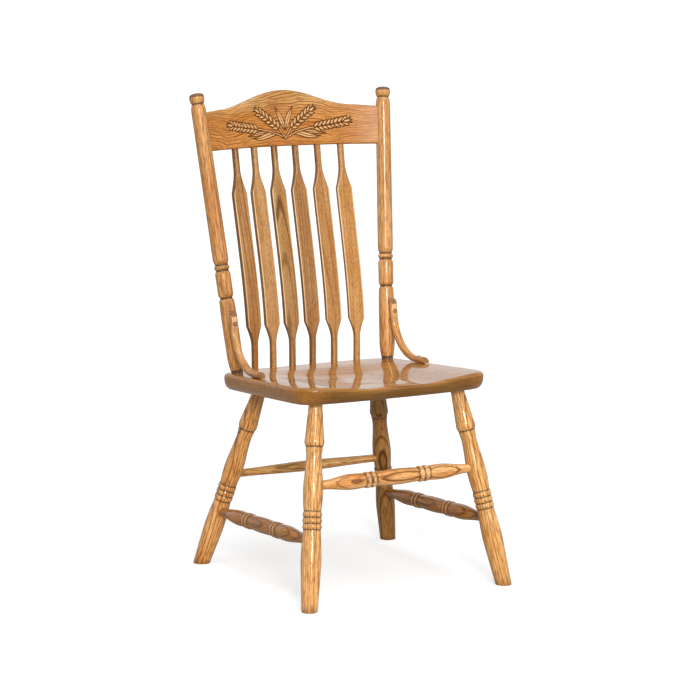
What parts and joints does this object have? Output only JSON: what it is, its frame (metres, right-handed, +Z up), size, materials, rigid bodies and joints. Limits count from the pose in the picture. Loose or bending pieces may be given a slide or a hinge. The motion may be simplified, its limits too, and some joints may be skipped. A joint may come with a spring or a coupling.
{
  "type": "paddle back dining chair",
  "caption": "Oak dining chair with a saddled plank seat, splayed turned legs and stretchers, bent paddles, a bell-topped crest rail between turned posts, and hip braces.",
  "frame": {"origin": "on the floor, under the middle of the chair's bounding box", "axes": "+X towards the viewer's right across the chair, +Y from front to back, so that the chair faces -Y, and +Z up"},
  "size_m": [0.5212, 0.6034, 1.0513],
  "materials": {
    "seat_oak": "stained oak under glossy lacquer",
    "leg_oak": "golden oak under satin lacquer",
    "back_oak": "golden oak under satin lacquer",
    "crest_oak": "golden oak under satin lacquer, carved",
    "plug_oak": "end-grain oak under lacquer",
    "screw_steel": "zinc-plated steel, hidden"
  },
  "bodies": {
    "root": {"seat": "seat_oak", "front_leg_left": "leg_oak", "front_leg_right": "leg_oak", "rear_leg_left": "leg_oak", "rear_leg_right": "leg_oak", "front_stretcher": "leg_oak", "side_stretcher_left": "leg_oak", "side_stretcher_right": "leg_oak", "rear_stretcher": "leg_oak", "back_post_left": "back_oak", "back_post_right": "back_oak", "crest_rail": "crest_oak", "paddle_1": "back_oak", "paddle_2": "back_oak", "paddle_3": "back_oak", "paddle_4": "back_oak", "paddle_5": "back_oak", "paddle_6": "back_oak", "brace_left": "back_oak", "brace_right": "back_oak", "upper_screw_left": "screw_steel", "upper_screw_right": "screw_steel", "lower_screw_left": "screw_steel", "lower_screw_right": "screw_steel", "upper_plug_left": "plug_oak", "upper_plug_right": "plug_oak", "lower_plug_left": "plug_oak", "lower_plug_right": "plug_oak"}
  },
  "joints": []
}
